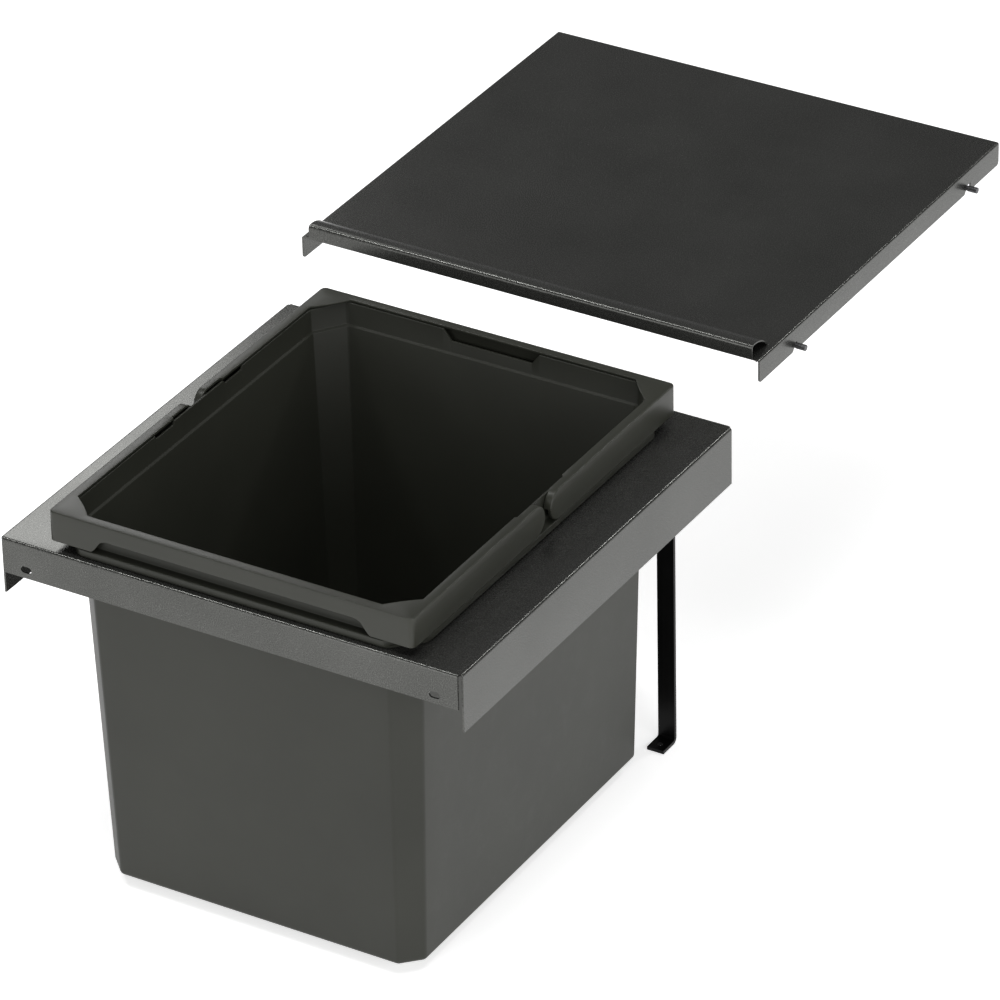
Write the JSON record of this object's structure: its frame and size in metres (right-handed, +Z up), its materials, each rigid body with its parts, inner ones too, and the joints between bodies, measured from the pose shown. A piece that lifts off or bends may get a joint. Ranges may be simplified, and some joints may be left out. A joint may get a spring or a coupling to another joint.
{
  "type": "pull-out waste bin for a kitchen drawer",
  "caption": "Folded steel hanging frame with a lift-out moulded bin, two swing-up bail handles, rear support straps and a steel cover hooked on screws in the cabinet.",
  "frame": {"origin": "midway between the two fixing slots, on the front face of the frame's front flange", "axes": "+X to the right, +Y from the drawer's front to the back of the cabinet, +Z up; stored with the drawer pulled out, so the cover lies behind the bin"},
  "size_m": [0.4294, 0.8366, 0.356],
  "materials": {
    "grey_powder_coat": "anthracite powder coat, satin, with a fine speckle",
    "black_coat": "gloss black coated steel",
    "bin_plastic": "finely grained dark grey polypropylene",
    "handle_plastic": "satin dark grey polypropylene",
    "screw_steel": "zinc plated, passivated"
  },
  "bodies": {
    "frame": {"frame_tray": "grey_powder_coat", "left_support_strap": "black_coat", "right_support_strap": "black_coat", "strap_rivets": "black_coat"},
    "cover_hangers": {"cover_hanging_screws": "screw_steel"},
    "cover": {"cover_plate": "grey_powder_coat"},
    "bin": {"bin_shell": "bin_plastic"},
    "front_bail": {"front_handle": "handle_plastic"},
    "rear_bail": {"rear_handle": "handle_plastic"}
  },
  "joints": [
    {"name": "cover_travel", "type": "slide", "parent": "frame", "child": "cover_hangers", "axis": [0, 1, 0], "range_m": [-0.433, 0]},
    {"name": "cover_tilt", "type": "hinge", "parent": "cover_hangers", "child": "cover", "pos_m": [0, 0.781, 0.05025], "axis": [-1, 0, 0], "range_deg": [0, 20]},
    {"name": "bin_lift", "type": "slide", "parent": "frame", "child": "bin", "axis": [0, 0, 1], "range_m": [0, 0.32]},
    {"name": "front_handle_raise", "type": "hinge", "parent": "bin", "child": "front_bail", "pos_m": [0, 0.181, 0.0425], "axis": [-1, 0, 0], "range_deg": [0, 90]},
    {"name": "rear_handle_raise", "type": "hinge", "parent": "bin", "child": "rear_bail", "pos_m": [0, 0.2142, 0.0425], "axis": [1, 0, 0], "range_deg": [0, 90]}
  ]
}
